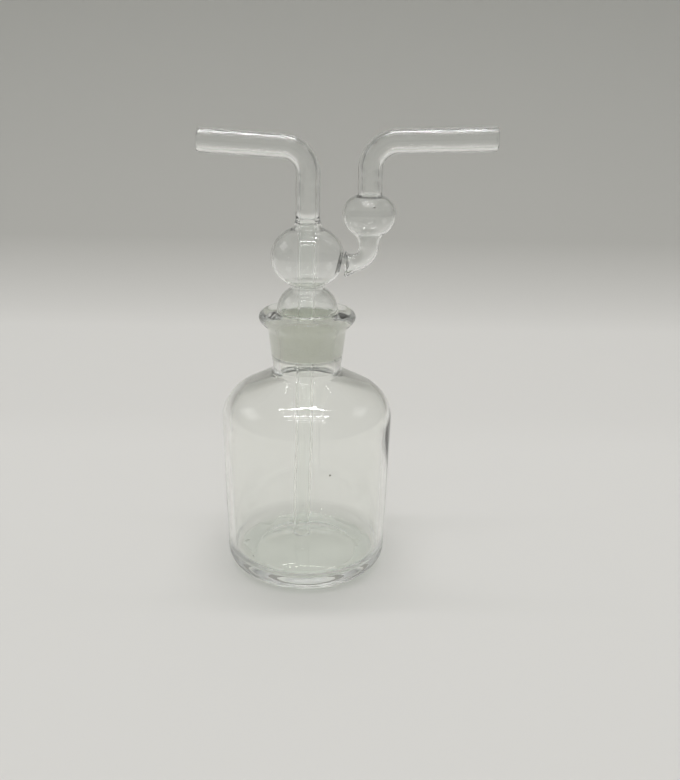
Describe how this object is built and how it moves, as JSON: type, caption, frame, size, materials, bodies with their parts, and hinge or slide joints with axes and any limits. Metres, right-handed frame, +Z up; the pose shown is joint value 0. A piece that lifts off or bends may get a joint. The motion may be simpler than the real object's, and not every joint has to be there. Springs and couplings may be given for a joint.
{
  "type": "gas washing bottle",
  "caption": "Glass gas washing bottle: a wide bottle with a ground neck, and a blown head with a dip tube, bulbs and bent hose tubes.",
  "frame": {"origin": "on the bottle's axis, in the plane that it stands on", "axes": "+Z up along the bottle's axis, +X toward the outlet tube, -X toward the inlet tube, +Y to the back"},
  "size_m": [0.0969, 0.06, 0.1569],
  "materials": {
    "bottle_glass": "clear, moulded, faintly green; the socket in the neck is ground matt",
    "head_glass": "clear, lamp-blown; the cone is ground matt"
  },
  "bodies": {
    "root": {"bottle": "bottle_glass", "washing_head": "head_glass"}
  },
  "joints": []
}
